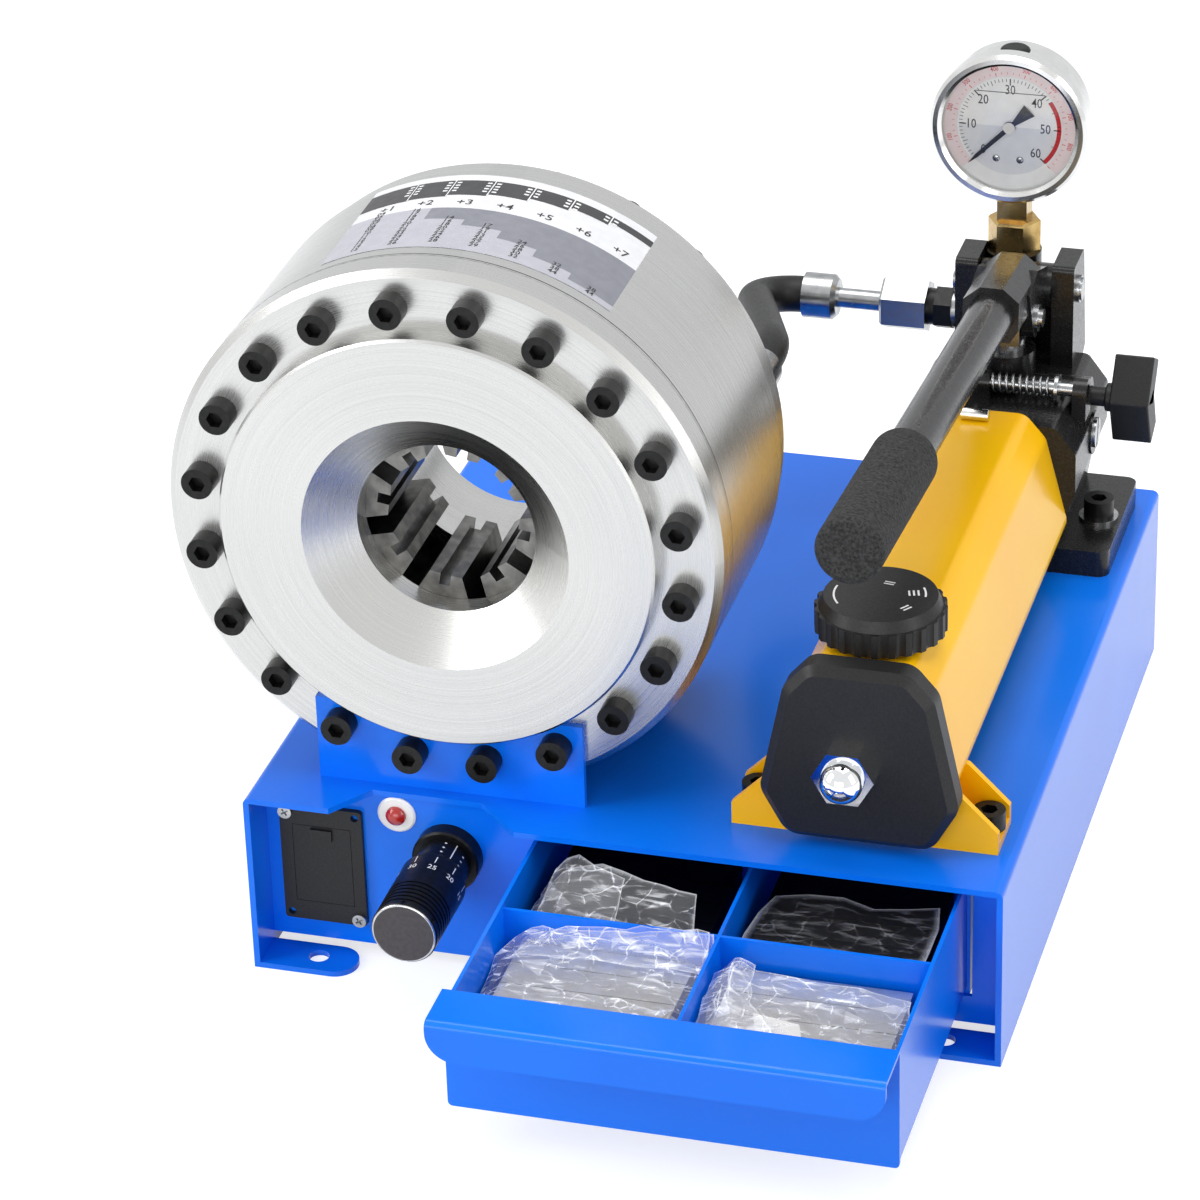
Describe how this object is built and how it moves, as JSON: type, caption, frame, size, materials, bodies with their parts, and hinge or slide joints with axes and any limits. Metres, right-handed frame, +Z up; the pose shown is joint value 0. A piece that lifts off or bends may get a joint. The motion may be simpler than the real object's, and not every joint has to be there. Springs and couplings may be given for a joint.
{
  "type": "hydraulic hose crimping machine",
  "caption": "Bench hose crimper: sheet-steel base with a tool drawer, a ring-shaped hydraulic crimp head with closing die shoes, a lever hand pump, its hose and a pressure gauge.",
  "frame": {"origin": "on the floor at the centre of the four foot holes", "axes": "+Z up, +Y away from the operator, who stands at -Y; the crimp head's axis runs along Y"},
  "size_m": [0.3535, 0.471, 0.308],
  "materials": {
    "blue_paint": "gloss powder coat",
    "tool_steel": "ground tool steel",
    "turned_steel": "bright turned and brushed",
    "black_oxide": "black oxide",
    "zinc_steel": "bright zinc plate",
    "black_rubber": "smooth",
    "yellow_paint": "gloss paint",
    "black_plastic": "moulded",
    "chrome": "polished",
    "cast_black": "black enamelled casting",
    "black_paint": "black enamel",
    "foam_grip": "grained",
    "brass": "turned",
    "stainless": "polished stainless",
    "dial_white": "matt white",
    "needle_black": "matt black",
    "clear_glass": "clear",
    "anodised_black": "black anodised",
    "white_plastic": "moulded gloss plastic",
    "red_plastic": "glossy"
  },
  "bodies": {
    "machine": {"base_frame": "blue_paint", "front_panel": "blue_paint", "rear_panel": "blue_paint", "drawer_guides": "blue_paint", "head_bracket_front": "blue_paint", "head_bracket_rear": "blue_paint", "front_flange": "turned_steel", "barrel": "turned_steel", "rear_flange": "turned_steel", "head_bolts": "black_oxide", "port_adaptor": "zinc_steel", "head_hose_nut": "zinc_steel", "hose_ends": "zinc_steel", "hydraulic_hose": "black_rubber", "pump_hose_nut": "zinc_steel", "pump_port_adaptor": "black_oxide", "seal_washer": "zinc_steel", "oil_tank": "yellow_paint", "tank_end_cap": "black_plastic", "acorn_nut": "chrome", "pump_front_foot": "yellow_paint", "foot_bolts": "black_oxide", "pump_head": "cast_black", "pivot_pin": "zinc_steel", "relief_plug": "zinc_steel", "lock_rod": "zinc_steel", "lock_spring": "zinc_steel", "gauge_adaptor": "brass", "gauge_case": "stainless", "gauge_bezel": "stainless", "gauge_dial": "dial_white", "gauge_glass": "clear_glass", "scale_sleeve": "anodised_black", "battery_box": "black_plastic", "box_screws": "zinc_steel", "button_bezel": "white_plastic"},
    "drawer_body": {"drawer": "blue_paint", "drawer_dividers": "blue_paint", "spare_dies": "tool_steel"},
    "ram_body": {"ram": "tool_steel"},
    "plunger_body": {"plunger": "zinc_steel"},
    "lever": {"lever_block": "black_paint", "lever_tube": "black_paint", "lever_grip": "foam_grip", "link_pin": "zinc_steel"},
    "release": {"release_knob": "black_plastic"},
    "filler": {"filler_cap": "black_plastic"},
    "thimble": {"scale_thimble": "anodised_black"},
    "needle": {"gauge_needle": "needle_black"},
    "button": {"push_button": "red_plastic"},
    "lid": {"battery_lid": "black_plastic"},
    "shoe_1": {"die_shoe_1": "tool_steel"},
    "shoe_2": {"die_shoe_2": "tool_steel"},
    "shoe_3": {"die_shoe_3": "tool_steel"},
    "shoe_4": {"die_shoe_4": "tool_steel"},
    "shoe_5": {"die_shoe_5": "tool_steel"},
    "shoe_6": {"die_shoe_6": "tool_steel"},
    "shoe_7": {"die_shoe_7": "tool_steel"},
    "shoe_8": {"die_shoe_8": "tool_steel"}
  },
  "joints": [
    {"name": "drawer_slide", "type": "slide", "parent": "machine", "child": "drawer_body", "axis": [0, -1, 0], "range_m": [-0.1199, 0.025]},
    {"name": "ram_slide", "type": "slide", "parent": "machine", "child": "ram_body", "axis": [0, -1, 0], "range_m": [0, 0.02], "stiffness_N_per_m": 4000},
    {"name": "shoe_1_slide", "type": "slide", "parent": "machine", "child": "shoe_1", "axis": [-0.8141, 0, -0.5807], "range_m": [0, 0.0095]},
    {"name": "shoe_2_slide", "type": "slide", "parent": "machine", "child": "shoe_2", "axis": [-0.165, 0, -0.9863], "range_m": [0, 0.0095]},
    {"name": "shoe_3_slide", "type": "slide", "parent": "machine", "child": "shoe_3", "axis": [0.5807, 0, -0.8141], "range_m": [0, 0.0095]},
    {"name": "shoe_4_slide", "type": "slide", "parent": "machine", "child": "shoe_4", "axis": [0.9863, 0, -0.165], "range_m": [0, 0.0095]},
    {"name": "shoe_5_slide", "type": "slide", "parent": "machine", "child": "shoe_5", "axis": [0.8141, 0, 0.5807], "range_m": [0, 0.0095]},
    {"name": "shoe_6_slide", "type": "slide", "parent": "machine", "child": "shoe_6", "axis": [0.165, 0, 0.9863], "range_m": [0, 0.0095]},
    {"name": "shoe_7_slide", "type": "slide", "parent": "machine", "child": "shoe_7", "axis": [-0.5807, 0, 0.8141], "range_m": [0, 0.0095]},
    {"name": "shoe_8_slide", "type": "slide", "parent": "machine", "child": "shoe_8", "axis": [-0.9863, 0, 0.165], "range_m": [0, 0.0095]},
    {"name": "lever_hinge", "type": "hinge", "parent": "machine", "child": "lever", "pos_m": [0.0945, 0.149, 0.186], "axis": [-1, 0, 0], "range_deg": [0, 35]},
    {"name": "plunger_slide", "type": "slide", "parent": "machine", "child": "plunger_body", "axis": [0, 0, 1], "range_m": [0, 0.0145]},
    {"name": "release_turn", "type": "hinge", "parent": "machine", "child": "release", "pos_m": [0.15, 0.124, 0.148], "axis": [1, 0, 0], "range_deg": [0, 360]},
    {"name": "filler_turn", "type": "hinge", "parent": "machine", "child": "filler", "pos_m": [0.094, -0.114, 0.165], "axis": [0, 0, 1], "range_deg": [0, 360]},
    {"name": "thimble_turn", "type": "hinge", "parent": "machine", "child": "thimble", "pos_m": [-0.075, -0.19, 0.054], "axis": [0, 1, 0], "range_deg": [-180, 180]},
    {"name": "needle_turn", "type": "hinge", "parent": "machine", "child": "needle", "pos_m": [0.0897, 0.1485, 0.2585], "axis": [0, 1, 0], "range_deg": [0, 270], "stiffness_Nm_per_rad": 0.002},
    {"name": "button_press", "type": "slide", "parent": "machine", "child": "button", "axis": [0, 1, 0], "range_m": [0, 0.0015], "stiffness_N_per_m": 600},
    {"name": "lid_hinge", "type": "hinge", "parent": "machine", "child": "lid", "pos_m": [-0.1285, -0.154, 0.0245], "axis": [1, 0, 0], "range_deg": [0, 95]}
  ],
  "couplings": [
    {"joint": "shoe_1_slide", "follows": "ram_slide", "ratio": 0.475},
    {"joint": "shoe_2_slide", "follows": "ram_slide", "ratio": 0.475},
    {"joint": "shoe_3_slide", "follows": "ram_slide", "ratio": 0.475},
    {"joint": "shoe_4_slide", "follows": "ram_slide", "ratio": 0.475},
    {"joint": "shoe_5_slide", "follows": "ram_slide", "ratio": 0.475},
    {"joint": "shoe_6_slide", "follows": "ram_slide", "ratio": 0.475},
    {"joint": "shoe_7_slide", "follows": "ram_slide", "ratio": 0.475},
    {"joint": "shoe_8_slide", "follows": "ram_slide", "ratio": 0.475},
    {"joint": "plunger_slide", "follows": "lever_hinge", "m_per_rad": 0.02372}
  ]
}
